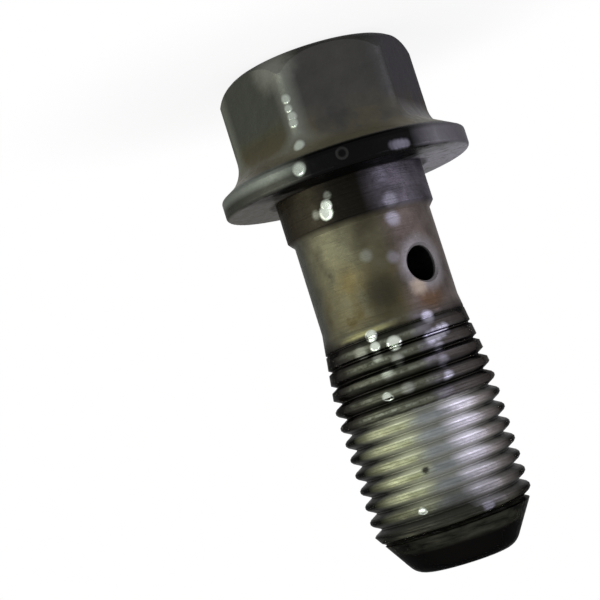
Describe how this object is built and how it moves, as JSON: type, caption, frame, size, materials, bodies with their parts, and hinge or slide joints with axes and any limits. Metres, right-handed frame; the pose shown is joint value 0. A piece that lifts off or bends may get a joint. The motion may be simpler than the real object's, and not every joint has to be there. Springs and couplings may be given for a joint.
{
  "type": "banjo bolt",
  "caption": "Hollow hydraulic bolt with a flanged hexagon head, a drilled waist and a fine thread; clamps a hose eye and feeds oil through itself.",
  "frame": {"origin": "middle of the seat, the flange's face towards the thread, on the bolt's axis", "axes": "+Z along the axis from the seat to the free end of the thread, with the head below; the X axis goes through two corners of the hexagon and along the oil hole"},
  "size_m": [0.0157, 0.0156, 0.0322],
  "materials": {
    "bolt_steel": "black oxide worn and oily on the head, brown oil film on the waist, bare worn steel on the thread"
  },
  "bodies": {
    "root": {"banjo_bolt": "bolt_steel"}
  },
  "joints": []
}
